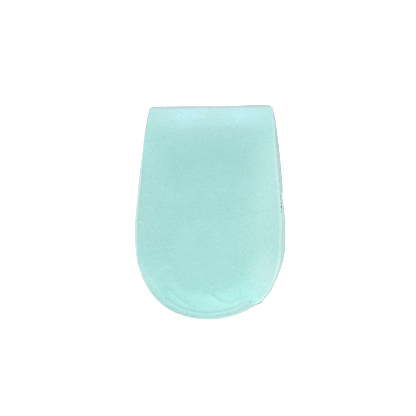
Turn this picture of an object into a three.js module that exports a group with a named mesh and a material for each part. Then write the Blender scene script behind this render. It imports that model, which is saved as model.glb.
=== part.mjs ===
// Heel cup: a shallow dish that lies in a shoe, under the heel and round it.
// A soft moulded body carries a thin grained cover, which lines the dish and ends at its rim.
// Millimetres. +Y points to the toes, +X to the side and +Z up. The base rests on z = 0.

import * as THREE from 'three';
import { mergeVertices } from 'three/addons/utils/BufferGeometryUtils.js';

// Plan of the base
const LENGTH = 93;
const HEEL_WIDTH = 64.6;
const FRONT_WIDTH = 54.9;
const FRONT_CORNER = 1.7;
const HEEL_DEPTH = 38.4;

// How full the outline's curves are, in shares of the lengths that they span
const HEEL_SIDE_FULLNESS = 0.68;
const HEEL_BACK_FULLNESS = 0.62;
const SIDE_FULLNESS = 0.12;
const SIDE_START = 0.15;
const SIDE_SPREAD = 0.38;

// Heights above the surface that it rests on
const FRONT_EDGE_HEIGHT = 2.4;
const FRONT_CREST_HEIGHT = 5.6;
const SEAT_HEIGHT = 4.2;
const HEEL_WALL_RISE = 10.3;

// Lengths behind the front edge
const FRONT_TAPER = 12;
const CREST_FALL = 26;

// Wall and rim
const WALL_WIDTH = 13.5;
const RIM_INSET = 2;
const WALL_CURVE = 1.8;
const BASE_FILLET = 1.6;
const FILLET_SHARE = 0.6;

// Cover
const COVER_THICKNESS = 1.2;
const COVER_CLEARANCE = 0.3;

// The rim from the front edge back to the heel, in shares:
// along of LENGTH, rise of HEEL_WALL_RISE, width of WALL_WIDTH and inset of RIM_INSET.
const RIM_STATIONS = [
  { along: 0, rise: 0, width: 0.75, inset: 0.1 },
  { along: 0.08, rise: 0.06, width: 0.82, inset: 0.3 },
  { along: 0.2, rise: 0.25, width: 0.95, inset: 0.65 },
  { along: 0.35, rise: 0.42, width: 1, inset: 0.82 },
  { along: 0.5, rise: 0.52, width: 1, inset: 0.85 },
  { along: 0.7, rise: 0.7, width: 0.94, inset: 1 },
  { along: 0.85, rise: 0.87, width: 0.75, inset: 1.5 },
  { along: 0.95, rise: 0.97, width: 0.6, inset: 1.35 },
  { along: 1, rise: 1, width: 0.55, inset: 1.2 },
];

// Storage has left the heel uneven on the +X side: one stretch of the rim is pressed outwards,
// and the foot of the wall beside it is pressed in. Each swells from its first angle to its
// second and dies away from its third to its fourth, in degrees round the heel from straight back.
const RIM_FLARE = { reach: 3.1, angles: [25, 37, 39, 82] };
const FOOT_DENT = { depth: 0.45, angles: [2, 16, 26, 46] };

// How finely the curves are stepped
const FRONT_STEPS = 5;
const CORNER_STEPS = 3;
const SIDE_STEPS = 14;
const HEEL_STEPS = 20;
const WALL_STEPS = 8;
const FLOOR_STEPS = 4;
const SKIRT_STEPS = 4;
const FILLET_STEPS = 3;
const MERGE_DISTANCE = 1e-3;

const FRONT_Y = LENGTH / 2;
const HEEL_Y = -LENGTH / 2;
const WIDEST_Y = HEEL_Y + HEEL_DEPTH;
const SPINE_FRONT_Y = FRONT_Y - FRONT_TAPER;

const FINISHES = {
  body: { color: new THREE.Color().setRGB(0.71, 0.85, 0.82, THREE.SRGBColorSpace), roughness: 0.6 },
  cover: { color: new THREE.Color().setRGB(0.66, 0.87, 0.84, THREE.SRGBColorSpace), roughness: 0.45 },
};

const rimShares = new THREE.CubicInterpolant(
  RIM_STATIONS.map((station) => station.along),
  RIM_STATIONS.flatMap(({ rise, width, inset }) => [rise, width, inset]),
  3,
);

/** Half of the base outline, from the middle of the front edge round +X to the back. */
function halfOutline() {
  const frontHalf = FRONT_WIDTH / 2;
  const heelHalf = HEEL_WIDTH / 2;
  const sideLength = FRONT_Y - FRONT_CORNER - WIDEST_Y;
  const corner = new THREE.QuadraticBezierCurve(
    new THREE.Vector2(frontHalf - FRONT_CORNER, FRONT_Y),
    new THREE.Vector2(frontHalf, FRONT_Y),
    new THREE.Vector2(frontHalf, FRONT_Y - FRONT_CORNER),
  );
  const side = new THREE.CubicBezierCurve(
    new THREE.Vector2(frontHalf, FRONT_Y - FRONT_CORNER),
    new THREE.Vector2(
      THREE.MathUtils.lerp(frontHalf, heelHalf, SIDE_SPREAD),
      FRONT_Y - SIDE_START * sideLength,
    ),
    new THREE.Vector2(heelHalf, WIDEST_Y + SIDE_FULLNESS * sideLength),
    new THREE.Vector2(heelHalf, WIDEST_Y),
  );
  const heel = new THREE.CubicBezierCurve(
    new THREE.Vector2(heelHalf, WIDEST_Y),
    new THREE.Vector2(heelHalf, WIDEST_Y - HEEL_SIDE_FULLNESS * HEEL_DEPTH),
    new THREE.Vector2(HEEL_BACK_FULLNESS * heelHalf, HEEL_Y),
    new THREE.Vector2(0, HEEL_Y),
  );
  const front = new THREE.LineCurve(
    new THREE.Vector2(0, FRONT_Y),
    new THREE.Vector2(frontHalf - FRONT_CORNER, FRONT_Y),
  );
  return [
    ...front.getPoints(FRONT_STEPS),
    ...corner.getPoints(CORNER_STEPS).slice(1),
    ...side.getSpacedPoints(SIDE_STEPS).slice(1),
    ...heel.getSpacedPoints(HEEL_STEPS).slice(1),
  ];
}

/** The whole base outline, clockwise seen from above, its -X side the mirror of the +X side. */
function baseOutline() {
  const half = halfOutline();
  half[0].x = 0;
  half[half.length - 1].x = 0;
  const mirrored = half.slice(1, -1).reverse();
  return [...half, ...mirrored.map(({ x, y }) => new THREE.Vector2(-x, y))];
}

/** Share, from 0 to 1, of an uneven stretch at a point of the outline on the +X side. */
function stretchShare({ x, y }, angles) {
  const [start, full, hold, end] = angles;
  const angle = THREE.MathUtils.radToDeg(Math.atan2(x, WIDEST_Y - y));
  const swell = THREE.MathUtils.smoothstep(angle, start, full);
  return swell * (1 - THREE.MathUtils.smoothstep(angle, hold, end));
}

/** Height of the dish's floor, which tapers to the front edge behind a low crest. */
function floorHeight(y) {
  const behindEdge = Math.max(FRONT_Y - y, 0);
  if (behindEdge < FRONT_TAPER) {
    const climb = Math.sin((behindEdge / FRONT_TAPER) * (Math.PI / 2));
    return THREE.MathUtils.lerp(FRONT_EDGE_HEIGHT, FRONT_CREST_HEIGHT, climb);
  }
  const fall = THREE.MathUtils.smoothstep(behindEdge, FRONT_TAPER, FRONT_TAPER + CREST_FALL);
  return THREE.MathUtils.lerp(FRONT_CREST_HEIGHT, SEAT_HEIGHT, fall);
}

/** The upright section through the wall at one point of the outline. */
class WallSection {
  constructor(outlinePoint) {
    const [rise, width, inset] = rimShares.evaluate((FRONT_Y - outlinePoint.y) / LENGTH);
    const spineY = THREE.MathUtils.clamp(outlinePoint.y, WIDEST_Y, SPINE_FRONT_Y);
    const dent = FOOT_DENT.depth * stretchShare(outlinePoint, FOOT_DENT.angles);
    const flare = RIM_FLARE.reach * stretchShare(outlinePoint, RIM_FLARE.angles);
    this.spine = new THREE.Vector2(0, spineY);
    this.foot = outlinePoint.clone().lerp(this.spine, dent / outlinePoint.distanceTo(this.spine));
    this.span = this.foot.distanceTo(this.spine);
    this.rise = rise * HEEL_WALL_RISE;
    this.inset = inset * RIM_INSET - flare;
    this.wallFoot = Math.min(inset * RIM_INSET + width * WALL_WIDTH, this.span);
  }

  /** The place in plan that lies `inwards` of the outline, towards the spine. */
  plan(inwards) {
    return this.foot.clone().lerp(this.spine, inwards / this.span);
  }

  /** A profile point of the dish, as inwards and height, `below` its surface square to the wall. */
  dishPoint(inwards, below) {
    const wallWidth = this.wallFoot - this.inset;
    const up = Math.max(1 - (inwards - this.inset) / wallWidth, 0);
    const lean = Math.atan((WALL_CURVE * this.rise * up ** (WALL_CURVE - 1)) / wallWidth);
    const height = floorHeight(this.plan(inwards).y) + this.rise * up ** WALL_CURVE;
    return new THREE.Vector2(inwards - below * Math.sin(lean), height - below * Math.cos(lean));
  }

  /** The dish's profile from the rim in to the spine. */
  dish(below) {
    const { lerp } = THREE.MathUtils;
    const inwards = [];
    for (let step = 0; step < WALL_STEPS; step += 1) {
      inwards.push(lerp(this.inset, this.wallFoot, step / WALL_STEPS));
    }
    for (let step = 0; step <= FLOOR_STEPS; step += 1) {
      inwards.push(lerp(this.wallFoot, this.span, step / FLOOR_STEPS));
    }
    return inwards.map((distance) => this.dishPoint(distance, below));
  }

  /** The outer wall's profile, from the rim down and round the fillet to the flat base. */
  skirt(rim) {
    const fillet = Math.min(BASE_FILLET, rim.y * FILLET_SHARE);
    const points = [];
    for (let step = 1; step <= SKIRT_STEPS; step += 1) {
      const down = step / SKIRT_STEPS;
      const inwards = rim.x * (1 - Math.sin(down * (Math.PI / 2)));
      points.push(new THREE.Vector2(inwards, THREE.MathUtils.lerp(rim.y, fillet, down)));
    }
    for (let step = 1; step <= FILLET_STEPS; step += 1) {
      const turn = (step / FILLET_STEPS) * (Math.PI / 2);
      points.push(new THREE.Vector2(fillet * (1 - Math.cos(turn)), fillet * (1 - Math.sin(turn))));
    }
    return points;
  }

  /** The body's profile: the dish under the cover, the outer wall and the flat base. */
  bodyProfile() {
    const dish = this.dish(COVER_THICKNESS + COVER_CLEARANCE);
    const baseMiddle = new THREE.Vector2(this.span, 0);
    return [...dish.slice().reverse(), ...this.skirt(dish[0]), baseMiddle];
  }

  /** The cover's profile: the dish's surface, the cut edge at the rim and the underside. */
  coverProfile() {
    return [...this.dish(0).reverse(), ...this.dish(COVER_THICKNESS)];
  }

  /** A profile set upright at this place of the outline. */
  stand(profile) {
    return profile.map(({ x: inwards, y: height }) => {
      const { x, y } = this.plan(inwards);
      return new THREE.Vector3(x, y, height);
    });
  }
}

/** A closed solid from one row of points for each wall section, all with as many points. */
function solidFromRows(rows) {
  const pointCount = rows[0].length;
  const positions = rows.flat().flatMap(({ x, y, z }) => [x, y, z]);
  const skin = new THREE.BufferGeometry();
  skin.setAttribute('position', new THREE.Float32BufferAttribute(positions, 3));
  const faces = [];
  rows.forEach((_, here) => {
    const next = (here + 1) % rows.length;
    for (let point = 0; point < pointCount - 1; point += 1) {
      const a = here * pointCount + point;
      const b = next * pointCount + point;
      faces.push(a, b, b + 1, a, b + 1, a + 1);
    }
  });
  skin.setIndex(faces);
  return withoutSlivers(mergeVertices(skin, MERGE_DISTANCE));
}

/** Drops the triangles that merging has closed to a line. */
function withoutSlivers(geometry) {
  const corners = Array.from(geometry.index.array);
  const kept = [];
  for (let first = 0; first < corners.length; first += 3) {
    const [a, b, c] = corners.slice(first, first + 3);
    if (a !== b && b !== c && c !== a) kept.push(a, b, c);
  }
  geometry.setIndex(kept);
  geometry.computeVertexNormals();
  return geometry;
}

/** One named piece with its own finish. */
function makePiece(name, rows, finish) {
  const material = new THREE.MeshStandardMaterial({ ...finish, metalness: 0 });
  const piece = new THREE.Mesh(solidFromRows(rows), material);
  piece.name = name;
  return piece;
}

const sections = baseOutline().map((point) => new WallSection(point));
const bodyRows = sections.map((section) => section.stand(section.bodyProfile()));
const coverRows = sections.map((section) => section.stand(section.coverProfile()));

const heelCup = new THREE.Group();
heelCup.name = 'heel_cup';
heelCup.add(makePiece('cup_body', bodyRows, FINISHES.body));
heelCup.add(makePiece('top_cover', coverRows, FINISHES.cover));

export default heelCup;
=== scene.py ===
"""A soft heel cup on a pale floor: a moulded body and the fine-grained mint cover that lines it.

The plan of the cup is in millimetres, with +Y towards the toes, +X to the side and +Z up.
It becomes metres where a point is set into a mesh.
"""

import logging
import math
from dataclasses import dataclass
from enum import Enum
from functools import cached_property, reduce
from typing import Iterable, Sequence

import bmesh
import bpy
from bmesh.types import BMEdge, BMesh, BMFace
from mathutils import Matrix, Vector, noise
from mathutils.geometry import interpolate_bezier, intersect_point_line


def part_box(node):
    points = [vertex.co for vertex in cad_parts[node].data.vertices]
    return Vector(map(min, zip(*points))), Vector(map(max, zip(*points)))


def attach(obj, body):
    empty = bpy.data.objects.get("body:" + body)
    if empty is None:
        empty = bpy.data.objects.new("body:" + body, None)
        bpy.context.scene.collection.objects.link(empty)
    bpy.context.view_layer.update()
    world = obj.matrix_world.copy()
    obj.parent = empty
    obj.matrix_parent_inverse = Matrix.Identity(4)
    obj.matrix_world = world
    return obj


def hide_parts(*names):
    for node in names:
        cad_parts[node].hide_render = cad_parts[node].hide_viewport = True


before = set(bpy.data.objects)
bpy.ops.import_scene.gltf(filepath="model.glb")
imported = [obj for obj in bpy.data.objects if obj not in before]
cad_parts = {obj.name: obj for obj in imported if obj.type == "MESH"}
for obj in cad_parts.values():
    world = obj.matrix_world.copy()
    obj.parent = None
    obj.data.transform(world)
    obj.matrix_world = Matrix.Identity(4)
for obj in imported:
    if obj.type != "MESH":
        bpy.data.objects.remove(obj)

MM = 0.001
COVER_THICKNESS = 1.0
SEAM_GAP = 0.08
LOG = logging.getLogger("heel_cup")
WELD_DISTANCE = 0.002
ROUND_PROFILE = 0.5

Colour = tuple[float, float, float]
Socket = bpy.types.NodeSocket
Pair = tuple[float, float]
Ramp = tuple[float, ...]  # where a ramp starts and ends, and its results there
Grain = tuple[float, ...]  # a noise's size, its detail and its roughness


class Slot(Enum):
    """The material slots, by name."""

    BODY = "moulded_body"
    COVER = "grained_cover"


class Node(Enum):
    """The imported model's nodes."""

    BODY = "cup_body"
    COVER = "top_cover"


class Side(Enum):
    """The cup's sides, as the sign of X."""

    RIGHT = 1.0
    LEFT = -1.0


class Layer(Enum):
    """The values that a mesh carries for its finish."""

    FROM_RIM = "from_rim"
    UP_WALL = "up_wall"
    FOLD = "fold"
    SOIL = "soil"
    # pale crest and cut edge: partly wear, partly a painted highlight
    PALE_EDGE = "pale_edge"
    # painted shade in the seam under the cover's edge
    SEAM_PAINTED_SHADE = "painted_shade_in_seam"


def smoothstep(value: float, low: float, high: float) -> float:
    """Eases from 0 where the value is low to 1 where it is high."""
    share = min(max((value - low) / (high - low), 0.0), 1.0)
    return share * share * (3.0 - 2.0 * share)


def mix(first: float, second: float, share: float) -> float:
    """The value that lies at a share of the way from first to second."""
    return first + (second - first) * share


def hump(offset: float, half_width: float) -> float:
    """A smooth hump, 1 in its middle and near 0 two half-widths away."""
    return math.exp(-((offset / half_width) ** 2))


def linear(red: int, green: int, blue: int) -> Colour:
    """A colour given in the 0 to 255 steps of a screen, as the linear values that shaders use."""
    shares = (value / 255.0 for value in (red, green, blue))
    return tuple(s / 12.92 if s <= 0.04045 else ((s + 0.055) / 1.055) ** 2.4 for s in shares)


def evenly_spaced(points: Sequence[Vector], count: int) -> list[Vector]:
    """Walks a line of points in equal steps.

    Args:
        points: The line to walk.
        count: How many steps to take.

    Returns:
        The places reached, without the start.
    """
    walked = [0.0]
    for here, there in zip(points, points[1:]):
        walked.append(walked[-1] + (there - here).length)
    places, stretch = [], 0
    for step in range(1, count + 1):
        goal = walked[-1] * step / count
        while stretch < len(points) - 2 and walked[stretch + 1] < goal:
            stretch += 1
        share = (goal - walked[stretch]) / (walked[stretch + 1] - walked[stretch])
        places.append(points[stretch].lerp(points[stretch + 1], share))
    return places


@dataclass(frozen=True)
class RimStation:
    """The wall's form at one place along the cup, in shares of the form's named sizes."""

    along: float
    rise: float
    width: float
    inset: float


@dataclass(frozen=True)
class UnevenStretch:
    """A stretch of the heel, on the +X side, that swells and dies away again.

    Its angles are in degrees round the heel from straight back: it swells from the first to the
    second and dies away from the third to the fourth.
    """

    reach: float
    angles: tuple[float, float, float, float]

    def at(self, sideways: float, back: float) -> float:
        """How far the stretch reaches at a place to the +X side of the heel's centre and behind it."""
        angle = math.degrees(math.atan2(sideways, back))
        return self.reach * smoothstep(angle, *self.angles[:2]) * (1.0 - smoothstep(angle, *self.angles[2:]))


@dataclass(frozen=True)
class SidePush:
    """A dent or a bulge that handling has left in the outer wall of one side."""

    side: Side
    along: float
    half_length: float
    reach: float

    def at(self, place: Vector) -> float:
        """How far the wall is pushed outwards at a place of the plan."""
        if place.x * self.side.value <= 0.0:
            return 0.0
        return self.reach * hump(place.y - self.along, self.half_length)


@dataclass(frozen=True)
class RimPlace:
    """How the rim is formed and looks at an angle round the heel.

    The angle is counted from straight back, positive towards +X. `set_back` is how far the wall's
    crest lies inside its even line, `shoulder` how far the cover reaches on outwards over the
    rim's flat top and `groove` how deep the fold between them is. `pale` is how pale the cut edge
    and the crest are, partly wear and partly a painted highlight, `dark` how much painted shade the
    seam under it gets and `soil` how much dust the outermost edge holds.
    """

    angle: float
    set_back: float
    shoulder: float
    groove: float
    pale: float
    dark: float
    soil: float


@dataclass(frozen=True)
class Rim:
    """How the rim changes round the cup."""

    centre: Vector
    places: tuple[RimPlace, ...] = (
        RimPlace(-180, 0, 0, 0, 0.1, 0.2, 0.9),
        RimPlace(-148, 0, 0, 0, 0, 0, 0.9),
        RimPlace(-80, 0, 0, 0, 0, 0, 0.8),
        RimPlace(-58, 0.3, 1.4, 0.03, 0, 0, 0.5),
        RimPlace(-38, 1.4, 3.4, 0.14, 0, 0, 0.6),
        RimPlace(-25, 0.9, 3.3, 0.3, 0, 0, 0.6),
        RimPlace(-11, 0.5, 2.8, 0.4, 0, 0.1, 0.6),
        RimPlace(0, 0.1, 2.1, 0.42, 0.1, 0.1, 0.6),
        RimPlace(8, 0.3, 2.4, 0.4, 0.05, 0, 0.6),
        RimPlace(18, 0.2, 2.6, 0.36, 0.05, 0, 0.6),
        RimPlace(26, 0.3, 2.6, 0.24, 0.1, 0.2, 0.5),
        RimPlace(40, 0, 0, 0, 1.4, 1, 1.4),
        RimPlace(62, 0, 0, 0, 1.1, 1, 1.3),
        RimPlace(72, 0, 0, 0, 0.55, 0.7, 1),
        RimPlace(100, 0, 0, 0, 0.5, 0.9, 1),
        RimPlace(118, 0, 0, 0, 0.5, 1, 1),
        RimPlace(143, 0, 0, 0, 0.35, 1, 1),
        RimPlace(154, 0, 0, 0, 0.25, 1, 1),
        RimPlace(180, 0, 0, 0, 0.1, 0.2, 0.9),
    )

    def read(self, column: str, place: Vector) -> float:
        """A column of the rim's places, read at a place of the plan.

        Args:
            column: The column's name.
            place: The place, in millimetres.

        Returns:
            The column's value there.
        """
        angle = math.degrees(math.atan2(place.x - self.centre.x, self.centre.y - place.y))
        last = len(self.places) - 2
        here = next((i for i in range(last) if angle <= self.places[i + 1].angle), last)
        first, second = self.places[here], self.places[here + 1]
        share = smoothstep(angle, first.angle, second.angle)
        return mix(getattr(first, column), getattr(second, column), share)


@dataclass(frozen=True)
class Crease:
    """A soft fold along a path in the plan of the dish.

    It stands `height` above the dish, or sinks into it where the height is negative, and `beside`
    is the height of the ripple that runs on the path's left.
    """

    path: tuple[Pair, ...]
    height: float
    half_width: float
    beside: float = 0.0
    ripple_away: float = 1.7
    end_share: float = 0.25

    @cached_property
    def reach_box(self) -> tuple[float, float, float, float]:
        """The box outside which the fold adds nothing: low x, high x, low y and high y."""
        reach = 4.0 * self.half_width
        xs, ys = zip(*self.path)
        return min(xs) - reach, max(xs) + reach, min(ys) - reach, max(ys) + reach

    def at(self, place: Vector) -> float:
        """The height that the fold adds at a place of the plan, in millimetres."""
        low_x, high_x, low_y, high_y = self.reach_box
        if not (low_x < place.x < high_x and low_y < place.y < high_y):
            return 0.0
        nearest, walked, left = math.inf, 0.0, 0.0
        stretches = len(self.path) - 1
        for index in range(stretches):
            start, end = Vector(self.path[index]), Vector(self.path[index + 1])
            share = min(max(intersect_point_line(place, start, end)[1], 0.0), 1.0)
            offset = place - start.lerp(end, share)
            if offset.length < nearest:
                nearest, walked = offset.length, (index + share) / stretches
                left = math.copysign(1.0, (end - start).cross(offset))
        fade = smoothstep(min(walked, 1.0 - walked), 0.0, self.end_share)
        crest = self.height * hump(nearest, self.half_width)
        ripple = self.beside * hump(left * nearest - self.ripple_away * self.half_width, self.half_width)
        return fade * (crest + ripple)


@dataclass(frozen=True)
class DishRelief:
    """The wrinkles and the slow unevenness that the soft dish has taken on."""

    slow_size: float = 11.0
    slow_height: float = 0.1
    quick_size: float = 3.0
    quick_height: float = 0.03
    fold_size: float = 2.2
    fold_change: float = 0.9
    creases: tuple[Crease, ...] = (
        Crease(((-30.3, -5.7), (-28.8, -7.0), (-27.0, -10.2), (-25.6, -12.4)), 0.11, 0.6),
        Crease(((-25.0, -7.0), (-23.5, -9.6), (-21.9, -12.9), (-19.6, -14.3)), -0.1, 0.66, 0.05),
        Crease(((-26.8, -16.6), (-24.9, -18.7), (-23.2, -21.4)), 0.11, 0.54),
        Crease(((-23.0, -21.6), (-20.8, -23.3), (-19.2, -24.7), (-17.6, -25.6), (-15.6, -24.6)), 0.12, 0.8, -0.05),
        Crease(((-21.2, -28.2), (-20.2, -28.8), (-18.8, -29.5)), -0.13, 0.42, 0.06),
        Crease(((-20.4, -30.6), (-19.2, -32.2), (-17.7, -34.1), (-14.9, -36.7), (-12.5, -38.8)), 0.26, 0.8, -0.1),
        Crease(((-15.4, -36.4), (-12.5, -38.8), (-9.6, -40.6), (-7.2, -41.9)), 0.34, 0.72, -0.12),
        Crease(
            ((-10.4, -40.1), (-7.3, -39.3), (-5.3, -39.1), (-3.2, -38.6), (-1.1, -37.7), (0.8, -37.1)),
            0.14, 0.72, -0.08,
        ),
        Crease(
            ((-2.9, -36.6), (-0.1, -37.1), (2.2, -38.0), (3.8, -39.3), (5.9, -40.1), (9.4, -40.9)),
            0.36, 0.72, -0.22,
        ),
        Crease(((7.4, -40.9), (11.2, -40.0), (13.7, -39.1), (16.2, -38.2), (19.0, -36.8)), 0.3, 0.72, -0.14),
        Crease(((-2.8, -40.9), (-0.2, -42.1), (1.5, -42.1), (3.7, -41.1)), 0.16, 0.48, -0.11),
        Crease(((-8.1, -40.6), (-4.8, -42.2), (-2.6, -43.3)), 0.13, 0.48, -0.08),
        Crease(((-8.4, -33.2), (-6.7, -35.5), (-5.2, -37.8)), -0.11, 0.48, 0.06),
        Crease(((11.2, -32.0), (12.9, -33.9), (13.4, -35.6), (14.0, -37.9)), -0.18, 0.48, 0.11),
        Crease(((-23.6, 2.3), (-22.4, 0.5), (-21.4, -2.3)), 0.13, 0.48, -0.1),
    )

    def fold(self, place: Vector) -> float:
        """The height that the creases add at a place of the plan, in millimetres."""
        uneven = noise.noise(Vector((place.x, place.y, self.quick_size)) / self.fold_size)
        return sum(crease.at(place) for crease in self.creases) * (1.0 + self.fold_change * uneven)

    def at(self, place: Vector) -> float:
        """The height that the relief adds at a place of the plan, in millimetres."""
        slow = noise.noise(Vector((place.x, place.y, 0.0)) / self.slow_size)
        quick = noise.noise(Vector((place.x, place.y, self.slow_size)) / self.quick_size)
        return self.fold(place) + self.slow_height * slow + self.quick_height * quick


@dataclass(frozen=True)
class CupShape:
    """The cup's form in plan and in section."""

    length: float
    heel_width: float
    heel_height: float
    front_width: float = 54.9
    front_corner: float = 2.6
    heel_depth: float = 38.4
    heel_side_fullness: float = 0.68
    heel_back_fullness: float = 0.62
    side_fullness: float = 0.12
    side_start: float = 0.15
    side_spread: float = 0.38
    front_edge_height: float = 2.4
    front_crest_height: float = 5.6
    seat_height: float = 4.2
    front_taper: float = 12.0
    crest_fall: float = 26.0
    wall_width: float = 13.5
    rim_inset: float = 2.0
    wall_curve: float = 2.6
    wall_spread: float = 1.35
    crest_round: float = 2.0
    crest_fade: float = 0.6
    full_shoulder: float = 2.2
    top_fall: float = 0.12
    edge_climb: float = 0.9
    groove_width: float = 0.8
    flare: UnevenStretch = UnevenStretch(3.1, (25.0, 37.0, 39.0, 82.0))
    foot_dent: UnevenStretch = UnevenStretch(0.45, (2.0, 16.0, 26.0, 46.0))
    front_bulges: tuple[tuple[float, float, float], ...] = ((21.0, 9.0, 0.5), (-12.0, 22.0, 0.28))
    stations: tuple[RimStation, ...] = (
        RimStation(0.0, 0.0, 0.75, 0.1),
        RimStation(0.08, 0.06, 0.82, 0.3),
        RimStation(0.2, 0.25, 0.95, 0.65),
        RimStation(0.35, 0.42, 1.0, 0.82),
        RimStation(0.5, 0.52, 1.0, 0.85),
        RimStation(0.7, 0.7, 0.94, 1.0),
        RimStation(0.85, 0.87, 0.75, 1.5),
        RimStation(0.95, 0.97, 0.6, 1.35),
        RimStation(1.0, 1.0, 0.55, 1.2),
    )

    @classmethod
    def from_frame(cls) -> "CupShape":
        """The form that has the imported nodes' length, width and height."""
        low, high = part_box(Node.BODY.value)
        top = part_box(Node.COVER.value)[1].z
        return cls((high.y - low.y) / MM, (high.x - low.x) / MM, top / MM)

    @property
    def front_y(self) -> float:
        """Where the front edge lies."""
        return self.length / 2.0

    @property
    def widest_y(self) -> float:
        """Where the cup is widest, which is at the heel's centre."""
        return self.heel_depth - self.length / 2.0

    @property
    def rim(self) -> Rim:
        """How the rim changes round the cup."""
        return Rim(Vector((0.0, self.widest_y)))

    @property
    def heel_rise(self) -> float:
        """How far the heel's rim stands above the seat."""
        return self.heel_height - self.seat_height

    def _slope(self, column: str, index: int) -> float:
        """The slope of a column at a station: the mean of the stretches that meet there."""
        last = len(self.stations) - 1
        slopes = []
        for low, high in ((index - 1, index), (index, index + 1)):
            if low >= 0 and high <= last:
                first, second = self.stations[low], self.stations[high]
                run = second.along - first.along
                slopes.append((getattr(second, column) - getattr(first, column)) / run)
        return sum(slopes) / len(slopes)

    def rim_value(self, column: str, along: float) -> float:
        """A column of the stations, read smoothly between them.

        Args:
            column: The column's name.
            along: Share of the length behind the front edge.

        Returns:
            The column's share there.
        """
        last = len(self.stations) - 2
        here = next((i for i in range(last) if along <= self.stations[i + 1].along), last)
        first, second = self.stations[here], self.stations[here + 1]
        run = second.along - first.along
        share = (along - first.along) / run
        square, cube = share**2, share**3
        return (
            (2.0 * cube - 3.0 * square + 1.0) * getattr(first, column)
            + (cube - 2.0 * square + share) * self._slope(column, here) * run
            + (3.0 * square - 2.0 * cube) * getattr(second, column)
            + (cube - square) * self._slope(column, here + 1) * run
        )

    def half_outline(self, steps: tuple[int, ...]) -> list[Vector]:
        """Half of the base outline, from the front's middle round +X to the back.

        Args:
            steps: Steps along the front edge, round its corner, along the side and round the heel.

        Returns:
            The outline's points.
        """
        front_half, heel_half = self.front_width / 2.0, self.heel_width / 2.0
        corner_y = self.front_y - self.front_corner
        side_length = corner_y - self.widest_y
        middle = Vector((0.0, self.front_y))
        tip = Vector((front_half, self.front_y))
        corner_start = Vector((front_half - self.front_corner, self.front_y))
        corner_end = Vector((front_half, corner_y))
        side_handle = Vector(
            (mix(front_half, heel_half, self.side_spread), self.front_y - self.side_start * side_length)
        )
        widest_handle = Vector((heel_half, self.widest_y + self.side_fullness * side_length))
        widest = Vector((heel_half, self.widest_y))
        heel_handle = Vector((heel_half, self.widest_y - self.heel_side_fullness * self.heel_depth))
        back_handle = Vector((self.heel_back_fullness * heel_half, -self.front_y))
        back = Vector((0.0, -self.front_y))
        lines = (
            (middle, middle.lerp(corner_start, 1 / 3), middle.lerp(corner_start, 2 / 3), corner_start),
            (corner_start, corner_start.lerp(tip, 2 / 3), corner_end.lerp(tip, 2 / 3), corner_end),
            (corner_end, side_handle, widest_handle, widest),
            (widest, heel_handle, back_handle, back),
        )
        points = [middle]
        for count, knots in zip(steps, lines):
            fine = [Vector(point[:2]) for point in interpolate_bezier(*knots, 4 * count + 1)]
            points.extend(evenly_spaced(fine, count))
        return points

    def floor_height(self, y: float) -> float:
        """The height of the dish's floor, which tapers to the front edge behind a low crest."""
        behind = max(self.front_y - y, 0.0)
        if behind < self.front_taper:
            climb = math.sin(behind / self.front_taper * math.pi / 2.0)
            return mix(self.front_edge_height, self.front_crest_height, climb)
        fall = smoothstep(behind, self.front_taper, self.front_taper + self.crest_fall)
        return mix(self.front_crest_height, self.seat_height, fall)

    def set_in(self, place: Vector, height: float) -> Vector:
        """A point of the cup in metres, over a place of the plan, with the front edge's slight bulges."""
        push = sum(reach * hump(place.x - middle, half) for middle, half, reach in self.front_bulges)
        near = smoothstep(place.y, self.front_y - self.front_taper, self.front_y)
        return Vector((place.x, place.y + near * push, height)) * MM


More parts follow.
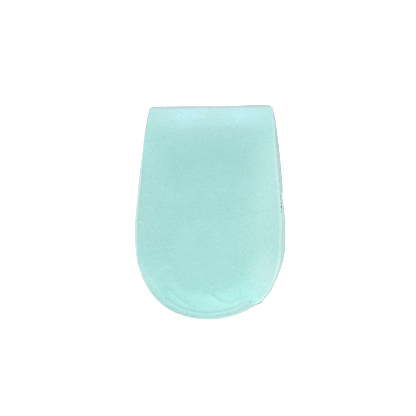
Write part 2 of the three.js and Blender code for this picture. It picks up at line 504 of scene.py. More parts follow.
class WallSection:
    """The upright section through the wall at one place of the outline."""

    def __init__(self, shape: CupShape, relief: DishRelief, outline_point: Vector) -> None:
        """Works out the section's sizes.

        Args:
            shape: The cup's form.
            relief: The dish's unevenness.
            outline_point: A point of the even base outline.
        """
        along = (shape.front_y - outline_point.y) / shape.length
        back = shape.widest_y - outline_point.y
        even_inset = shape.rim_value("inset", along) * shape.rim_inset
        dent = shape.foot_dent.at(outline_point.x, back)
        self.shape = shape
        self.relief = relief
        self.spine = Vector((0.0, min(max(outline_point.y, shape.widest_y), shape.front_y - shape.front_taper)))
        self.foot = outline_point.lerp(self.spine, dent / (outline_point - self.spine).length)
        self.span = (self.foot - self.spine).length
        self.rise = shape.rim_value("rise", along) * shape.heel_rise
        self.shoulder = shape.rim.read("shoulder", outline_point)
        self.groove = shape.rim.read("groove", outline_point)
        self.inset = even_inset + shape.rim.read("set_back", outline_point) - shape.flare.at(outline_point.x, back)
        self.edge = self.inset - self.shoulder
        wall = shape.rim_value("width", along) * shape.wall_width * shape.wall_spread
        self.wall_foot = min(even_inset + wall, self.span)

    def plan(self, inwards: float) -> Vector:
        """The place in plan that lies inwards of the outline, towards the spine."""
        return self.foot.lerp(self.spine, inwards / self.span)

    def stand(self, inwards: float, height: float) -> Vector:
        """A profile point set upright in the cup, in metres."""
        return self.shape.set_in(self.plan(inwards), height)

    def up_wall(self, inwards: float) -> float:
        """How far up the wall a place is, from 0 at its foot to 1 at its crest."""
        return max(1.0 - (inwards - self.inset) / (self.wall_foot - self.inset), 0.0)

    def fold_in(self, inwards: float) -> float:
        """How deep the fold inside the rim's flat top is at a place."""
        return self.groove * hump(inwards - self.inset, self.shape.groove_width)

    def _height(self, inwards: float) -> float:
        """The height of the dish's even surface: its floor, its wall and the rim's flat top."""
        wall = self.rise * self.up_wall(inwards) ** self.shape.wall_curve
        lying = smoothstep(self.shoulder, 0.0, self.shape.full_shoulder)
        outside = self.inset - inwards
        top = self.rise + mix(self.shape.edge_climb * max(outside, 0.0), -self.shape.top_fall * outside, lying)
        rounding = self.shape.crest_round * lying * smoothstep(self.up_wall(inwards), 0.0, self.shape.crest_fade)
        if self.shoulder > 0.0:
            wall = (wall + top - math.hypot(wall - top, rounding)) / 2.0
        return self.shape.floor_height(self.plan(inwards).y) + wall - self.fold_in(inwards)

    def dish_point(self, inwards: float, below: float) -> Pair:
        """A profile point of the dish.

        Args:
            inwards: Distance from the outline towards the spine.
            below: Depth under the dish's surface, square to the wall.

        Returns:
            The point's distance inwards and its height.
        """
        step = 0.1
        lean = math.atan((self._height(inwards - step) - self._height(inwards + step)) / (2.0 * step))
        if inwards >= self.wall_foot:
            lean = 0.0
        sunk = below - self.relief.at(self.plan(inwards))
        return inwards - sunk * math.sin(lean), self._height(inwards) - sunk * math.cos(lean)

    def dish_steps(self, wall_rows: int, floor_rows: int, crowding: float) -> list[float]:
        """The distances inwards of the dish's rows, which crowd towards the rim where crowding is above 1."""
        wall = [mix(self.edge, self.wall_foot, (row / wall_rows) ** crowding) for row in range(wall_rows)]
        return wall + [mix(self.wall_foot, self.span, row / floor_rows) for row in range(floor_rows + 1)]


@dataclass(frozen=True)
class CupSections:
    """The wall sections all the way round the cup, clockwise from above, at the outline's steps."""

    shape: CupShape
    relief: DishRelief
    steps: tuple[int, ...]

    @cached_property
    def ring(self) -> list[WallSection]:
        """One section for each point of the outline."""
        half = self.shape.half_outline(self.steps)
        half[-1].x = 0.0
        outline = half + [Vector((-point.x, point.y)) for point in reversed(half[1:-1])]
        return [WallSection(self.shape, self.relief, point) for point in outline]


def walk(points: Sequence[Vector], start: int) -> list[float]:
    """How far each point of a line lies from one of them along the line, in millimetres."""
    steps = [(there - here).length / MM for here, there in zip(points, points[1:])]
    return [sum(steps[min(row, start) : max(row, start)]) for row in range(len(points))]


def wrap_grid(
    mesh: BMesh, columns: Sequence[Sequence[Vector]], values: dict[Layer, Sequence[Sequence[float]]]
) -> None:
    """Wraps a grid of faces round the cup.

    Args:
        mesh: An empty mesh that takes the grid.
        columns: The points of each wall section, all with as many points, in order round the cup.
        values: What each layer holds at the points.
    """
    around, across = len(columns), len(columns[0]) - 1
    layers = [(mesh.verts.layers.float.new(layer.value), table) for layer, table in values.items()]
    bmesh.ops.create_grid(mesh, x_segments=around, y_segments=across, size=0.5)
    for vertex in mesh.verts:
        column = round((vertex.co.x + 0.5) * around) % around
        row = round((vertex.co.y + 0.5) * across)
        vertex.co = columns[column][row]
        for layer, table in layers:
            vertex[layer] = table[column][row]
    bmesh.ops.remove_doubles(mesh, verts=mesh.verts, dist=MM * WELD_DISTANCE)
    bmesh.ops.recalc_face_normals(mesh, faces=mesh.faces)


def mark_rim(mesh: BMesh, rim: Rim) -> None:
    """Writes into a mesh how the rim looks beside each point.

    Args:
        mesh: The mesh.
        rim: How the rim changes round the cup.
    """
    # pale is partly wear and partly a painted highlight, dark is painted shade in the seam
    for layer, column in ((Layer.PALE_EDGE, "pale"), (Layer.SEAM_PAINTED_SHADE, "dark"), (Layer.SOIL, "soil")):
        made = mesh.verts.layers.float.new(layer.value)
        for vertex in mesh.verts:
            vertex[made] = rim.read(column, vertex.co.xy / MM)


def round_edges(mesh: BMesh, edges: Iterable[BMEdge], radius: float, segments: int) -> None:
    """Rounds edges of a mesh by a radius in millimetres, with that many faces round each."""
    sizes = {"offset": radius * MM, "segments": segments, "profile": ROUND_PROFILE}
    bmesh.ops.bevel(mesh, geom=list(edges), affect="EDGES", clamp_overlap=True, material=-1, **sizes)


def make_piece(name: str, mesh: BMesh, finishes: Sequence[bpy.types.Material]) -> bpy.types.Object:
    """Turns a finished mesh into a smooth piece of the scene.

    Args:
        name: The piece's name.
        mesh: Its mesh, which is used up.
        finishes: Its materials, in the order of the faces' material numbers.

    Returns:
        The piece, at the origin.
    """
    for face in mesh.faces:
        face.smooth = True
    data = bpy.data.meshes.new(name)
    mesh.to_mesh(data)
    mesh.free()
    for finish in finishes:
        data.materials.append(finish)
    piece = bpy.data.objects.new(name, data)
    bpy.context.scene.collection.objects.link(piece)
    return piece


@dataclass(frozen=True)
class Speck:
    """A small fleck, at a place of the plan or of the cup.

    It eases in between the two shares of its radius that `ease` gives.
    """

    place: Sequence[float]
    radius: float
    colour: Colour
    strength: float
    ease: Pair = (1.25, 0.45)


class NodeBench:
    """Adds and joins the shader nodes of one material."""

    def __init__(self, name: str) -> None:
        """Starts an empty material of that name."""
        self.material = bpy.data.materials.new(name)
        self.material.use_nodes = True
        self.tree = self.material.node_tree
        self.tree.nodes.clear()

    def add(self, kind: str, inputs: dict[str | int, object] | None = None, **settings: object) -> bpy.types.Node:
        """Adds a node.

        Args:
            kind: The node's type, without its ShaderNode prefix.
            inputs: What its inputs hold: a value, or another node's output.
            settings: The node's own settings.

        Returns:
            The node.
        """
        node = self.tree.nodes.new(f"ShaderNode{kind}")
        for key, value in settings.items():
            setattr(node, key, value)
        for key, value in (inputs or {}).items():
            if isinstance(value, Socket):
                self.tree.links.new(value, node.inputs[key])
            else:
                node.inputs[key].default_value = value
        return node

    def object_mm(self) -> Socket:
        """The piece's own coordinates in millimetres."""
        own = self.add("TexCoord").outputs["Object"]
        return self.add("Mapping", {"Vector": own, "Scale": (1.0 / MM,) * 3}).outputs["Vector"]

    def slanted(self, at: Socket, degrees: float, stretch: float) -> Socket:
        """Coordinates that draw a pattern out into streaks, turned by some degrees from the X axis."""
        turned = self.add("Mapping", {"Vector": at, "Rotation": (0.0, 0.0, math.radians(-degrees))}).outputs["Vector"]
        return self.add("Mapping", {"Vector": turned, "Scale": (1.0 / stretch, 1.0, 1.0)}).outputs["Vector"]

    def vector(self, operation: str, first: object, second: object) -> bpy.types.NodeOutputs:
        """The outputs of a Vector Math node on two vectors or outputs."""
        return self.add("VectorMath", {0: first, 1: second}, operation=operation).outputs

    def attribute(self, layer: Layer) -> Socket:
        """The value of one of the mesh's layers."""
        return self.add("Attribute", attribute_name=layer.value).outputs["Fac"]

    def noise(self, at: Socket, size: float, detail: float = 2.0, rough: float = 0.5) -> Socket:
        """Soft noise from 0 to 1, with features of a size in millimetres and some finer layers of detail."""
        made = self.add("TexNoise", {"Vector": at, "Scale": 1.0 / size, "Detail": detail, "Roughness": rough})
        return made.outputs["Fac"]

    def cell_edges(self, at: Socket, size: float) -> Socket:
        """The distance from the edges of irregular cells, in shares of the cells' size."""
        cells = self.add("TexVoronoi", {"Vector": at, "Scale": 1.0 / size}, feature="DISTANCE_TO_EDGE")
        return cells.outputs["Distance"]

    def ramp(self, value: Socket, start: float, end: float, low: float = 0.0, high: float = 1.0) -> Socket:
        """Eases a value into another range.

        Args:
            value: The value to read.
            start: Where the ramp starts.
            end: Where it ends.
            low: Its result at the start.
            high: Its result at the end.

        Returns:
            The eased value.
        """
        if start > end:
            start, end, low, high = end, start, high, low
        inputs = {"Value": value, "From Min": start, "From Max": end, "To Min": low, "To Max": high}
        return self.add("MapRange", inputs, interpolation_type="SMOOTHSTEP").outputs["Result"]

    def maths(self, operation: str, first: object, *others: object) -> Socket:
        """The result of a Math node's operation on numbers or outputs, from the first to the last."""
        return reduce(lambda a, b: self.add("Math", {0: a, 1: b}, operation=operation).outputs["Value"], others, first)

    def times(self, *factors: object) -> Socket:
        """The product of numbers or outputs."""
        return self.maths("MULTIPLY", *factors)

    def blend(self, share: object, first: object, second: object) -> Socket:
        """The first colour with a share of the second mixed into it."""
        ends = [end if isinstance(end, Socket) else (*end, 1.0) for end in (first, second)]
        return self.add("Mix", {0: share, 6: ends[0], 7: ends[1]}, data_type="RGBA").outputs[2]

    def coats(self, colour: object, *coats: tuple[object, Colour]) -> object:
        """A colour under coats that are laid over it in turn, each given as its share and its colour."""
        return reduce(lambda under, coat: self.blend(coat[0], under, coat[1]), coats, colour)

    def spot(self, at: Socket, speck: Speck) -> Socket:
        """How much of a speck shows: its strength inside it, easing to 0 outside."""
        away = self.vector("DISTANCE", at, tuple(Vector(speck.place).to_3d()))["Value"]
        return self.times(self.ramp(away, *(speck.radius * share for share in speck.ease)), speck.strength)

    def flecks(self, at: Socket, colour: object, specks: Sequence[Speck], share: object = 1.0) -> object:
        """A colour with a share of each of the specks laid over it."""
        return self.coats(colour, *((self.times(self.spot(at, speck), share), speck.colour) for speck in specks))

    def finish(
        self, looks: dict[str, object], height: Socket | None = None, depth: float = 0.0, strength: float = 0.7
    ) -> bpy.types.Material:
        """Joins a principled shader to the material's output and hands the material over.

        Args:
            looks: What the shader's inputs hold.
            height: The height of the surface's grain.
            depth: How deep the grain is, in millimetres.
            strength: How strongly the grain turns the light.

        Returns:
            The material.
        """
        if height is not None:
            bump = self.add("Bump", {"Height": height, "Distance": depth * MM, "Strength": strength})
            looks = {**looks, "Normal": bump.outputs["Normal"]}
        shader = self.add("BsdfPrincipled", looks)
        self.add("OutputMaterial", {"Surface": shader.outputs["BSDF"]})
        return self.material


@dataclass(frozen=True)
class Patch:
    """A soft oval patch of the cover, at a place of the plan, with its half width and half length."""

    place: Pair
    halves: Pair
    strength: float

    def share(self, bench: NodeBench, flat: Socket) -> Socket:
        """How much of the patch shows: its strength in its middle, easing to 0 at its edge."""
        own = {"Vector": flat, "Location": (*self.place, 0.0), "Scale": (*self.halves, 1.0)}
        near = bench.add("Mapping", own, vector_type="TEXTURE").outputs["Vector"]
        return bench.ramp(bench.vector("LENGTH", near, (0.0,) * 3)["Value"], 1.0, 0.0, 0.0, self.strength)


@dataclass(frozen=True)
class SeamDirt:
    """The dirt that the seam has gathered on the +X side.

    Each fleck is given by its place along the cup, its radius and its strength.
    """

    colour: Colour = linear(84, 62, 72)
    set_in: float = 0.2
    outline_steps: tuple[int, ...] = (2, 2, 200, 2)
    flecks: tuple[tuple[float, float, float], ...] = (
        (5.3, 0.56, 0.95),
        (3.9, 0.5, 0.9),
        (2.6, 0.54, 0.95),
        (0.7, 0.74, 1.0),
        (-1.3, 0.5, 0.85),
    )
    dirt_noise: Grain = (0.4, 3.0, 0.7)
    ragged: Ramp = (0.3, 0.5, 0.5, 1.0)

    def marks(self, shape: CupShape, relief: DishRelief, below: float) -> list[Speck]:
        """Sets the flecks into the seam.

        Args:
            shape: The cup's form.
            relief: The dish's unevenness.
            below: How deep under the dish's surface the seam lies.

        Returns:
            The flecks, where the seam runs.
        """
        ring = CupSections(shape, relief, self.outline_steps).ring
        made = []
        for along, radius, strength in self.flecks:
            section = min((s for s in ring if s.foot.x > 0.0), key=lambda each: abs(each.foot.y - along))
            centre = section.stand(*section.dish_point(section.edge + self.set_in, below)) / MM
            made.append(Speck(centre, radius, self.colour, strength))
        return made

    def lay(self, bench: NodeBench, at: Socket, colour: object, marks: Sequence[Speck]) -> object:
        """The colour with the marks laid over it, a little ragged."""
        ragged = bench.ramp(bench.noise(at, *self.dirt_noise), *self.ragged)
        return bench.flecks(at, colour, marks, ragged)


@dataclass(frozen=True)
class GrainedCoverFinish:
    """Mint synthetic leather with a fine pebble grain and a soft sheen, with painted sheen, light and shade in its
    colour.
    """

    name: str = "mint_grained_cover"
    mint: Colour = linear(165, 219, 213)
    seat_mint: Colour = linear(178, 228, 221)
    # painted light: the walls paler the higher up they rise
    painted_wall_light_mint: Colour = linear(182, 230, 224)
    # painted light: a paler mint where the walls and the heel's shoulder catch the most light
    painted_light_mint: Colour = linear(212, 240, 234)
    # painted sheen: the bluish white of the front's two sheen lobes
    painted_sheen_mint: Colour = linear(189, 231, 243)
    pale_mint: Colour = linear(222, 243, 239)
    worn_mint: Colour = linear(202, 202, 196)
    # painted shade in the creases' grooves and the fold inside the rim
    crease_painted_shade: Colour = linear(128, 174, 162)
    # painted shade in the grain's valleys
    painted_valley_shade: Colour = linear(122, 188, 182)
    # painted highlight on the grain's peaks and the creases' ridges
    painted_peak_highlight: Colour = linear(207, 240, 236)
    dust: Colour = linear(172, 182, 188)
    grain_size: float = 0.66
    crease_size: float = 2.1
    grain_depth: float = 0.075
    grain_bend: float = 0.9
    streak_slant: float = 35.0
    streak_stretch: float = 5.0
    streak_size: float = 0.48
    streak_turn: Pair = (1.0, 5.0)
    specks: tuple[Speck, ...] = (
        Speck((15.2, 25.3), 0.3, linear(120, 140, 100), 0.8),
        Speck((11.1, 26.2), 0.24, linear(150, 170, 130), 0.45),
        Speck((13.2, 21.5), 0.24, linear(110, 170, 160), 0.45),
        Speck((-20.0, 31.8), 0.3, linear(70, 150, 130), 0.6),
        Speck((-18.9, 11.4), 0.26, linear(170, 170, 130), 0.5),
        Speck((7.8, 0.3), 0.26, linear(90, 160, 150), 0.55),
        Speck((17.6, -39.6), 0.34, linear(90, 150, 140), 0.7),
        Speck((-5.7, -41.1), 0.34, linear(100, 170, 150), 0.6),
    )
    polished: tuple[Patch, ...] = (
        Patch((-10.0, 43.2), (13.0, 8.0), 0.18),
        Patch((14.3, 43.0), (13.0, 8.0), 0.19),
    )
    # where the painted sheen lies on the front
    painted_sheen_patches: tuple[Patch, ...] = (
        Patch((-10.0, 42.2), (12.5, 9.5), 0.6),
        Patch((13.6, 42.2), (12.5, 9.5), 0.6),
        Patch((0.0, 39.0), (36.0, 15.0), 0.36),
    )
    worn: tuple[Patch, ...] = (Patch((0.0, 47.0), (70.0, 22.0), 0.4),)
    # where the painted light lies: the flare, the heel's shoulder, both side walls and the lower left
    painted_light_patches: tuple[Patch, ...] = (
        Patch((26.0, -30.0), (12.0, 19.0), 0.85),
        Patch((6.0, -42.0), (14.0, 5.0), 0.3),
        Patch((14.5, -43.0), (9.0, 4.0), 0.25),
        Patch((-31.0, -8.0), (8.0, 24.0), 0.4),
        Patch((27.0, 8.0), (23.0, 42.0), 0.33),
        Patch((-20.0, -30.0), (14.0, 10.0), 0.15),
    )
    pebble_side: Ramp = (0.0, 0.3)
    line_side: Ramp = (0.0, 0.09)
    fine_size: float = 0.3
    cloud_noise: Grain = (1.5, 3.0, 0.65)
    drift_noise: Grain = (13.0, 3.0)
    drift: Ramp = (0.3, 0.7, -0.25, 0.25)
    # painted light and shade along the dish
    heelward_painted_light: Ramp = (24.0, -30.0)
    up_wall: Ramp = (0.15, 0.95)
    valley_shading: Ramp = (1.0, 0.0, 0.0, 0.26)
    peak_highlighting: Ramp = (0.5, 0.75, 0.0, 0.33)
    ridge_highlighting: Ramp = (0.03, 0.4, 0.0, 0.25)
    fold_shading: Ramp = (-0.03, -0.42, 0.0, 0.38)
    front_dust: Ramp = (44.7, 46.5, 0.0, 0.95)
    rim_dust: Ramp = (1.0, 0.3)
    forward_dust: Ramp = (30.0, 45.0, 0.2, 0.85)
    pale_edge: Ramp = (1.3, 0.3)
    roughness: Ramp = (0.3, 0.7, 0.54, 0.46)
    streak_share: Ramp = (0.3, 0.7, 0.35, 1.0)

    def _shares(self, bench: NodeBench, flat: Socket, patches: Sequence[Patch]) -> Socket:
        """The shares of several patches at a place, added up."""
        return bench.maths("ADD", *(patch.share(bench, flat) for patch in patches))

    def _streaks(self, bench: NodeBench, at: Socket, sideways: Socket) -> Socket:
        """The fine streaks of the front's sheen, which slant the other way on each side."""
        left, right = (
            bench.noise(bench.slanted(at, slant, self.streak_stretch), self.streak_size)
            for slant in (-self.streak_slant, self.streak_slant)
        )
        both = bench.add("Mix", {0: bench.ramp(sideways, *self.streak_turn), 2: left, 3: right}).outputs[0]
        return bench.ramp(both, *self.streak_share)

    def material(self) -> bpy.types.Material:
        """Builds the material."""
        bench = NodeBench(self.name)
        at = bench.object_mm()
        flat = bench.vector("MULTIPLY", at, (1.0, 1.0, 0.0))["Vector"]
        parts = bench.add("SeparateXYZ", {"Vector": at}).outputs
        along = parts["Y"]
        from_rim, fold = bench.attribute(Layer.FROM_RIM), bench.attribute(Layer.FOLD)
        wander = bench.add("TexNoise", {"Vector": at, "Scale": 0.7, "Detail": 2.0}).outputs["Color"]
        grain_at = bench.vector("ADD", at, bench.vector("MULTIPLY", wander, (self.grain_bend,) * 3)["Vector"])["Vector"]
        pebble = bench.ramp(bench.cell_edges(grain_at, self.grain_size), *self.pebble_side)
        line = bench.ramp(bench.cell_edges(grain_at, self.crease_size), *self.line_side)
        fine = bench.noise(at, self.fine_size)
        cloud = bench.noise(at, *self.cloud_noise)
        drift = bench.ramp(bench.noise(at, *self.drift_noise), *self.drift)
        streaks = self._streaks(bench, at, parts["X"])
        rim_dust = bench.times(bench.ramp(from_rim, *self.rim_dust), bench.attribute(Layer.SOIL))
        colour = bench.coats(
            self.mint,
            # painted light and shade: paler towards the heel and darker by the front crest, with a random drift of tone
            # on top
            (bench.maths("ADD", bench.ramp(along, *self.heelward_painted_light), drift), self.seat_mint),
            # painted light: the walls paler the higher up they rise
            (bench.ramp(bench.attribute(Layer.UP_WALL), *self.up_wall), self.painted_wall_light_mint),
            # painted light on the brightest parts of the walls, the flare and the heel's shoulder
            (self._shares(bench, flat, self.painted_light_patches), self.painted_light_mint),
            (self._shares(bench, flat, self.worn), self.worn_mint),
            # painted sheen: bluish-white streaks in the front's two sheen lobes
            (bench.times(self._shares(bench, flat, self.painted_sheen_patches), streaks), self.painted_sheen_mint),
            # painted shade in the grain's valleys
            (bench.ramp(bench.times(pebble, line), *self.valley_shading), self.painted_valley_shade),
            # painted highlight on the fine grain's peaks
            (bench.ramp(fine, *self.peak_highlighting), self.painted_peak_highlight),
            # painted highlight on the creases' ridges
            (bench.ramp(fold, *self.ridge_highlighting), self.painted_peak_highlight),
            # painted shade in the creases' grooves and the fold inside the rim
            (bench.ramp(fold, *self.fold_shading), self.crease_painted_shade),
            (bench.ramp(along, *self.front_dust), self.dust),
            (bench.times(rim_dust, bench.ramp(along, *self.forward_dust)), self.dust),
            # pale crest and cut edge: partly wear, partly a painted highlight
            (bench.times(bench.ramp(from_rim, *self.pale_edge), bench.attribute(Layer.PALE_EDGE)), self.pale_mint),
        )
        polish = self._shares(bench, flat, self.polished)
        looks = {
            "Base Color": bench.flecks(flat, colour, self.specks),
            "Roughness": bench.maths("SUBTRACT", bench.ramp(cloud, *self.roughness), polish),
            "Specular IOR Level": 0.6,
            "Specular Tint": (0.8, 0.9, 1.0, 1.0),
            "Subsurface Weight": 0.1,
            "Subsurface Radius": (0.8, 1.0, 1.0),
            "Subsurface Scale": 0.8 * MM,
            "Sheen Weight": 0.1,
            "Sheen Roughness": 0.45,
            "Sheen Tint": (0.82, 0.92, 1.0, 1.0),
        }
        heights = ((pebble, 0.7), (line, 0.6), (fine, 0.5), (cloud, 0.25), (streaks, 0.5))
        height = bench.maths("ADD", *(bench.times(layer, share) for layer, share in heights))
        return bench.finish(looks, height, self.grain_depth, strength=0.9)


@dataclass(frozen=True)
class CutEdgeFinish:
    """The cover's cut edge: mint at the heel, pale along its +X side, partly wear and partly painted highlight; a
    little rough.
    """

    dirt: SeamDirt
    marks: Sequence[Speck]
    name: str = "pale_cut_edge"
    mint: Colour = linear(176, 224, 218)
    pale: Colour = linear(206, 236, 231)
    dust: Colour = linear(146, 160, 168)
    fibre_depth: float = 0.04
    fibre_noise: Grain = (0.16, 3.0, 0.7)
    patch_size: float = 2.4
    outwards: Ramp = (0.75, 0.1)
    patchy: Ramp = (0.3, 0.6, 0.5, 1.0)
    roughness: Ramp = (0.3, 0.7, 0.6, 0.8)

    def material(self) -> bpy.types.Material:
        """Builds the material."""
        bench = NodeBench(self.name)
        at = bench.object_mm()
        fibres = bench.noise(at, *self.fibre_noise)
        upwards = bench.add("SeparateXYZ", {"Vector": bench.add("NewGeometry").outputs["Normal"]}).outputs["Z"]
        patchy = bench.ramp(bench.noise(at, self.patch_size), *self.patchy)
        dusty = bench.times(bench.ramp(upwards, *self.outwards), patchy, bench.attribute(Layer.SOIL))
        # pale cut edge: partly wear, partly a painted highlight
        colour = bench.coats(self.mint, (bench.attribute(Layer.PALE_EDGE), self.pale), (dusty, self.dust))
        looks = {
            "Base Color": self.dirt.lay(bench, at, colour, self.marks),
            "Roughness": bench.ramp(fibres, *self.roughness),
            "Subsurface Weight": 0.15,
            "Subsurface Scale": 0.8 * MM,
        }
        return bench.finish(looks, fibres, self.fibre_depth)


@dataclass(frozen=True)
class MouldedBodyFinish:
    """Soft matt grey-green rubber, with painted shade in the seam and on its side walls, a few dirt flecks in the seam
    and faint soil along its foot.
    """

    dirt: SeamDirt
    marks: Sequence[Speck]
    name: str = "moulded_body_rubber"
    rubber: Colour = linear(177, 223, 217)
    pale_rubber: Colour = linear(184, 227, 221)
    # painted shade: the outer walls darker and greyer towards the sides
    painted_side_shade: Colour = linear(160, 190, 186)
    # painted shade in the seam under the cover's edge
    seam_painted_shade: Colour = linear(120, 150, 148)
    foot_soil: Colour = linear(132, 140, 154)
    skin_depth: float = 0.03
    skin_noise: Grain = (0.35, 3.0, 0.6)
    pit_size: float = 1.3
    drift_noise: Grain = (9.0, 3.0)
    drift: Ramp = (0.35, 0.65)
    sides: Ramp = (20.0, 29.0, 0.0, 0.8)
    low: Ramp = (8.0, 3.0)
    near_rim: Ramp = (0.6, 0.2)
    patchy_soil: Ramp = (0.3, 0.6, 0.8, 1.0)
    patchy_shade: Ramp = (0.3, 0.6, 0.6, 1.0)
    roughness: Ramp = (0.3, 0.7, 0.5, 0.62)

    def material(self) -> bpy.types.Material:
        """Builds the material."""
        bench = NodeBench(self.name)
        at = bench.object_mm()
        skin = bench.noise(at, *self.skin_noise)
        pits = bench.noise(at, self.pit_size)
        parts = bench.add("SeparateXYZ", {"Vector": at}).outputs
        sideways = bench.maths("ABSOLUTE", parts["X"], 0.0)
        foot = bench.times(bench.ramp(parts["Z"], *self.low), bench.attribute(Layer.SOIL))
        near = bench.ramp(bench.attribute(Layer.FROM_RIM), *self.near_rim)
        seam = bench.times(near, bench.attribute(Layer.SEAM_PAINTED_SHADE))
        colour = bench.coats(
            self.rubber,
            (bench.ramp(bench.noise(at, *self.drift_noise), *self.drift), self.pale_rubber),
            # painted shade: the outer walls darker and greyer towards the sides
            (bench.ramp(sideways, *self.sides), self.painted_side_shade),
            (bench.times(foot, bench.ramp(pits, *self.patchy_soil)), self.foot_soil),
            # painted shade in the seam under the cover's edge
            (bench.times(seam, bench.ramp(pits, *self.patchy_shade)), self.seam_painted_shade),
        )
        looks = {
            "Base Color": self.dirt.lay(bench, at, colour, self.marks),
            "Roughness": bench.ramp(pits, *self.roughness),
            "Specular IOR Level": 0.4,
            "Subsurface Weight": 0.2,
            "Subsurface Radius": (0.9, 1.0, 1.0),
            "Subsurface Scale": 1.5 * MM,
        }
        return bench.finish(looks, bench.maths("ADD", bench.times(skin, 0.6), pits), self.skin_depth)


@dataclass
class TopCover:
    """The thin grained cover that lines the dish, with its cut edge at the rim."""

    shape: CupShape
    relief: DishRelief
    finish: GrainedCoverFinish
    edge_finish: CutEdgeFinish
    thickness: float
    name: str = "grained_top_cover"
    edge_round: float = 0.4
    edge_segments: int = 4
    outline_steps: tuple[int, ...] = (20, 8, 76, 160)
    wall_rows: int = 46
    floor_rows: int = 16
    crowding: float = 1.25
    steep_rise: float = 4.0

    def _lay_sheet(self, mesh: BMesh) -> None:
        """Lays the cover's upper surface on the dish.

        Args:
            mesh: The mesh that takes it.
        """
        sections = CupSections(self.shape, self.relief, self.outline_steps).ring
        columns, up_wall, fold = [], [], []
        for section in sections:
            steps = section.dish_steps(self.wall_rows, self.floor_rows, self.crowding)
            columns.append([section.stand(*section.dish_point(inwards, 0.0)) for inwards in steps])
            steep = smoothstep(section.rise, 0.0, self.steep_rise)
            up_wall.append([steep * section.up_wall(inwards) for inwards in steps])
            fold.append([self.relief.fold(section.plan(inwards)) - section.fold_in(inwards) for inwards in steps])
        from_rim = [walk(points, 0) for points in columns]
        wrap_grid(mesh, columns, {Layer.FROM_RIM: from_rim, Layer.UP_WALL: up_wall, Layer.FOLD: fold})
        if sum(face.normal.z for face in mesh.faces) < 0.0:
            bmesh.ops.reverse_faces(mesh, faces=mesh.faces)

    def _thicken(self, mesh: BMesh) -> None:
        """Gives the sheet its thickness, downwards, and rounds its cut edge.

        Args:
            mesh: The laid sheet.
        """
        upper = set(mesh.faces)
        made = bmesh.ops.solidify(mesh, geom=list(upper), thickness=self.thickness * MM)["geom"]
        lower = {item for item in made if isinstance(item, BMFace)}
        cut = {face for face in mesh.faces if face not in upper and face not in lower}
        for face in cut:
            face.material_index = 1
        corners = {edge for face in cut for edge in face.edges if any(f not in cut for f in edge.link_faces)}
        round_edges(mesh, corners, self.edge_round, self.edge_segments)

    def build(self) -> bpy.types.Object:
        """Builds the cover and ties it to the frame."""
        mesh = bmesh.new()
        self._lay_sheet(mesh)
        area = sum(face.calc_area() for face in mesh.faces)
        self._thicken(mesh)
        mark_rim(mesh, self.shape.rim)
        piece = make_piece(self.name, mesh, (self.finish.material(), self.edge_finish.material()))
        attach(piece, "root")
        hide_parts(Node.COVER.value)
        LOG.info("%s: %d faces, upper surface %.1f cm2", self.name, len(piece.data.polygons), area * 1e4)
        return piece


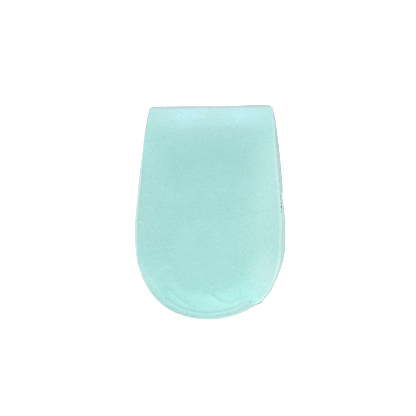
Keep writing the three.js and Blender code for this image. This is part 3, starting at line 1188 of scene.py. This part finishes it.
@dataclass
class MouldedBody:
    """The soft moulded dish under the cover, with its outer wall and flat base."""

    shape: CupShape
    relief: DishRelief
    finish: MouldedBodyFinish
    under_cover: float
    name: str = "moulded_cup_body"
    rim_round: float = 0.25
    rim_segments: int = 3
    base_fillet: float = 1.6
    fillet_share: float = 0.6
    outline_steps: tuple[int, ...] = (16, 8, 56, 80)
    wall_rows: int = 20
    floor_rows: int = 8
    outer_rows: int = 14
    fillet_rows: int = 6
    base_rows: int = 6
    pushes: tuple[SidePush, ...] = (
        SidePush(Side.RIGHT, 5.6, 2.6, -0.4),
        SidePush(Side.RIGHT, -5.0, 5.0, 0.15),
        SidePush(Side.RIGHT, -18.5, 7.5, 0.45),
        SidePush(Side.RIGHT, 20.0, 16.0, 0.2),
        SidePush(Side.LEFT, -4.4, 1.8, 0.2),
        SidePush(Side.LEFT, 8.0, 14.0, 0.3),
        SidePush(Side.LEFT, -24.0, 14.0, 0.3),
    )

    @property
    def rim_row(self) -> int:
        """Which of a profile's points is the rim."""
        return self.wall_rows + self.floor_rows

    def _outer_wall(self, section: WallSection, rim: Pair) -> list[Pair]:
        """The outer wall's profile, from the rim down and round the fillet to the flat base.

        Args:
            section: The wall section.
            rim: The body's rim, as inwards and height.

        Returns:
            The profile's points, without the rim.
        """
        fillet = min(self.base_fillet, rim[1] * self.fillet_share)
        push = sum(each.at(section.foot) for each in self.pushes)
        points = []
        for row in range(1, self.outer_rows + 1):
            down = row / self.outer_rows
            bulged = rim[0] * (1.0 - math.sin(down * math.pi / 2.0)) - push * smoothstep(down, 0.0, 0.5)
            points.append((bulged, mix(rim[1], fillet, down)))
        for row in range(1, self.fillet_rows + 1):
            turn = row / self.fillet_rows * math.pi / 2.0
            points.append((fillet * (1.0 - math.cos(turn)) - push, fillet * (1.0 - math.sin(turn))))
        return points

    def _profile(self, section: WallSection) -> list[Pair]:
        """The body's closed profile, from the spine over the rim and the outer wall to the base."""
        steps = section.dish_steps(self.wall_rows, self.floor_rows, 1.0)
        dish = [section.dish_point(inwards, self.under_cover) for inwards in steps]
        outer = self._outer_wall(section, dish[0])
        base = [(mix(outer[-1][0], section.span, row / self.base_rows), 0.0) for row in range(1, self.base_rows + 1)]
        return [*reversed(dish), *outer, *base]

    def build(self) -> bpy.types.Object:
        """Builds the body and ties it to the frame."""
        sections = CupSections(self.shape, self.relief, self.outline_steps).ring
        columns = [[section.stand(*point) for point in self._profile(section)] for section in sections]
        mesh = bmesh.new()
        wrap_grid(mesh, columns, {Layer.FROM_RIM: [walk(points, self.rim_row) for points in columns]})
        from_rim = mesh.verts.layers.float[Layer.FROM_RIM.value]
        rim = [edge for edge in mesh.edges if all(vertex[from_rim] == 0.0 for vertex in edge.verts)]
        round_edges(mesh, rim, self.rim_round, self.rim_segments)
        mark_rim(mesh, self.shape.rim)
        piece = make_piece(self.name, mesh, (self.finish.material(),))
        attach(piece, "root")
        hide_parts(Node.BODY.value)
        LOG.info("%s: %d faces", self.name, len(piece.data.polygons))
        return piece


@dataclass(frozen=True)
class SoftLight:
    """A square soft light that faces the cup."""

    name: str
    place: Colour
    size: float
    watts: float
    tint: Colour

    def build(self) -> None:
        """Hangs the light."""
        data = bpy.data.lights.new(self.name, "AREA")
        data.shape, data.size = "SQUARE", self.size
        data.energy, data.color = self.watts, self.tint
        light = bpy.data.objects.new(self.name, data)
        light.location = self.place
        light.rotation_mode = "QUATERNION"
        light.rotation_quaternion = (-Vector(self.place)).to_track_quat("-Z", "Y")
        bpy.context.scene.collection.objects.link(light)


@dataclass(frozen=True)
class CameraView:
    """The camera, nearly straight above the cup.

    Azimuth is counted from the cup's back towards its +X side and elevation from the floor.
    """

    azimuth: float = 30.0
    elevation: float = 81.0
    distance: float = 0.45
    roll: float = 0.3217
    lens: float = 89.85
    sensor: float = 36.0
    clip: Pair = (0.01, 10.0)
    shift: Pair = (-0.00594, 0.00954)

    def build(self) -> None:
        """Sets the camera up and makes it the scene's."""
        turn, tilt, roll = (math.radians(angle) for angle in (self.azimuth, self.elevation, self.roll))
        back = Vector((math.sin(turn) * math.cos(tilt), -math.cos(turn) * math.cos(tilt), math.sin(tilt)))
        right = (-back).cross(Vector((0.0, 1.0, 0.0))).normalized()
        up = back.cross(right)
        rolled_right = right * math.cos(roll) + up * math.sin(roll)
        rolled_up = up * math.cos(roll) - right * math.sin(roll)
        data = bpy.data.cameras.new("camera")
        data.lens, data.sensor_width, data.sensor_fit = self.lens, self.sensor, "HORIZONTAL"
        data.shift_x, data.shift_y = self.shift
        data.clip_start, data.clip_end = self.clip
        camera = bpy.data.objects.new("camera", data)
        turned = Matrix((rolled_right, rolled_up, back)).transposed()
        camera.matrix_world = Matrix.Translation(back * self.distance) @ turned.to_4x4()
        bpy.context.scene.collection.objects.link(camera)
        bpy.context.scene.camera = camera


@dataclass(frozen=True)
class Studio:
    """The pale floor, the soft light round it and the camera."""

    floor_size: float = 6.0
    floor_drop: float = 0.02
    floor_white: float = 0.92
    floor_glow: float = 0.8
    sky_strength: float = 0.44
    camera: CameraView = CameraView()
    lights: tuple[SoftLight, ...] = (
        SoftLight("left_window", (-0.55, 0.06, 0.44), 0.4, 2.3, (1.0, 0.965, 0.93)),
        SoftLight("right_window", (0.38, 0.4, 0.45), 0.4, 2.6, (0.95, 1.0, 0.99)),
        SoftLight("front_lamp", (-0.05, 0.56, 0.41), 0.35, 0.74, (0.82, 0.82, 1.0)),
    )

    def _lay_floor(self) -> None:
        """Lays the floor under the cup."""
        mesh = bmesh.new()
        bmesh.ops.create_grid(mesh, x_segments=1, y_segments=1, size=self.floor_size / 2.0)
        bmesh.ops.translate(mesh, verts=mesh.verts, vec=(0.0, 0.0, -self.floor_drop * MM))
        bench = NodeBench("pale_floor")
        looks = {
            "Base Color": (self.floor_white,) * 3 + (1.0,),
            "Roughness": 0.9,
            "Emission Color": (1.0, 1.0, 1.0, 1.0),
            "Emission Strength": self.floor_glow,
        }
        floor = make_piece("floor", mesh, (bench.finish(looks),))

    def build(self) -> None:
        """Sets up the floor, the lights, the sky and the camera."""
        self._lay_floor()
        for light in self.lights:
            light.build()
        world = bpy.data.worlds.new("studio")
        world.use_nodes = True
        sky = world.node_tree.nodes["Background"].inputs
        sky["Color"].default_value, sky["Strength"].default_value = (1.0, 1.0, 1.0, 1.0), self.sky_strength
        bpy.context.scene.world = world
        bpy.context.scene.view_settings.view_transform = "Standard"
        self.camera.build()
        LOG.info("studio: %d lights", len(self.lights))


def main() -> None:
    """Builds the cup and its surroundings."""
    logging.basicConfig(level=logging.INFO, format="%(message)s")
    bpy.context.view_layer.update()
    Studio().build()
    shape, relief, dirt = CupShape.from_frame(), DishRelief(), SeamDirt()
    marks = dirt.marks(shape, relief, COVER_THICKNESS)
    body = MouldedBody(shape, relief, MouldedBodyFinish(dirt, marks), COVER_THICKNESS + SEAM_GAP).build()
    cut_edge = CutEdgeFinish(dirt, marks)
    cover = TopCover(shape, relief, GrainedCoverFinish(), cut_edge, COVER_THICKNESS).build()


if __name__ == "__main__":
    main()
